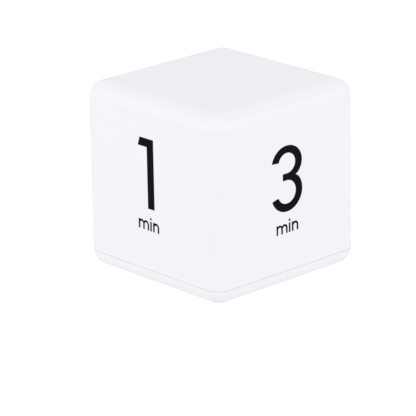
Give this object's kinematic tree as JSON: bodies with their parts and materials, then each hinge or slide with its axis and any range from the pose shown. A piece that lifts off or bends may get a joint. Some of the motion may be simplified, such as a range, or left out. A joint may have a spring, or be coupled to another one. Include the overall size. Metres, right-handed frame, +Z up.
{
  "type": "cube timer",
  "caption": "Cube kitchen timer with rounded edges: turning a numbered face up starts that preset, and the base face carries the display, slide switch and hinged battery door.",
  "frame": {"origin": "centre of the base face, which is the lowest plane of the cube", "axes": "+Z up from the base face to the blank top, -Y out of the 1 minute face, +X out of the 3 minute face"},
  "size_m": [0.067, 0.067, 0.067],
  "materials": {
    "white_plastic": "fine satin moulded surface",
    "black_plastic": "satin moulded",
    "clear_plastic": "polished clear",
    "display_glass": "display glass with grey-green polariser",
    "steel": "zinc plated",
    "nickel": "bright nickel plated spring steel",
    "brass": "plain brass",
    "board_green": "green solder mask on glass epoxy",
    "resin_black": "cast epoxy",
    "rubber_grey": "layered conductive rubber",
    "ceramic_white": "silvered piezo ceramic",
    "cell_wrap": "plain dark printed sleeve",
    "wire_red": "soft insulation",
    "wire_black": "soft insulation"
  },
  "bodies": {
    "case": {"housing_shell": "white_plastic", "base_cover": "white_plastic", "display_window": "clear_plastic", "lcd_panel": "display_glass", "zebra_strip": "rubber_grey", "lcd_holder": "black_plastic", "circuit_board": "board_green", "chip_cover": "resin_black", "crystal": "nickel", "slide_switch_frame": "steel", "piezo_plate": "brass", "piezo_element": "ceramic_white", "battery_cell_1": "cell_wrap", "battery_cell_2": "cell_wrap", "contact_bridge": "nickel", "contact_positive": "nickel", "contact_negative": "nickel", "contact_spring_1": "nickel", "contact_spring_2": "nickel", "battery_wire_positive": "wire_red", "battery_wire_negative": "wire_black", "buzzer_wire_1": "wire_red", "buzzer_wire_2": "wire_black", "cover_screw_1": "steel", "pcb_screw_1": "steel", "tilt_switch_can_1": "steel", "tilt_switch_plug_1": "black_plastic", "cover_screw_2": "steel", "pcb_screw_2": "steel", "tilt_switch_can_2": "steel", "tilt_switch_plug_2": "black_plastic", "cover_screw_3": "steel", "pcb_screw_3": "steel", "tilt_switch_can_3": "steel", "tilt_switch_plug_3": "black_plastic", "cover_screw_4": "steel", "pcb_screw_4": "steel", "tilt_switch_can_4": "steel", "tilt_switch_plug_4": "black_plastic"},
    "door": {"battery_door": "white_plastic"},
    "power_switch": {"power_switch_knob": "black_plastic", "slide_switch_actuator": "black_plastic"},
    "ball_1": {"tilt_ball_1": "brass"},
    "ball_2": {"tilt_ball_2": "brass"},
    "ball_3": {"tilt_ball_3": "brass"},
    "ball_4": {"tilt_ball_4": "brass"}
  },
  "joints": [
    {"name": "door_hinge", "type": "hinge", "parent": "case", "child": "door", "pos_m": [0, -0.02045, 0.00095], "axis": [-1, 0, 0], "range_deg": [0, 85]},
    {"name": "power_slide", "type": "slide", "parent": "case", "child": "power_switch", "axis": [1, 0, 0], "range_m": [0, 0.002]},
    {"name": "ball_1_roll", "type": "slide", "parent": "case", "child": "ball_1", "axis": [1, 0, 0], "range_m": [-0.0019, 0.0019]},
    {"name": "ball_2_roll", "type": "slide", "parent": "case", "child": "ball_2", "axis": [-1, 0, 0], "range_m": [-0.0019, 0.0019]},
    {"name": "ball_3_roll", "type": "slide", "parent": "case", "child": "ball_3", "axis": [0, 1, 0], "range_m": [-0.0019, 0.0019]},
    {"name": "ball_4_roll", "type": "slide", "parent": "case", "child": "ball_4", "axis": [0, -1, 0], "range_m": [-0.0019, 0.0019]}
  ]
}
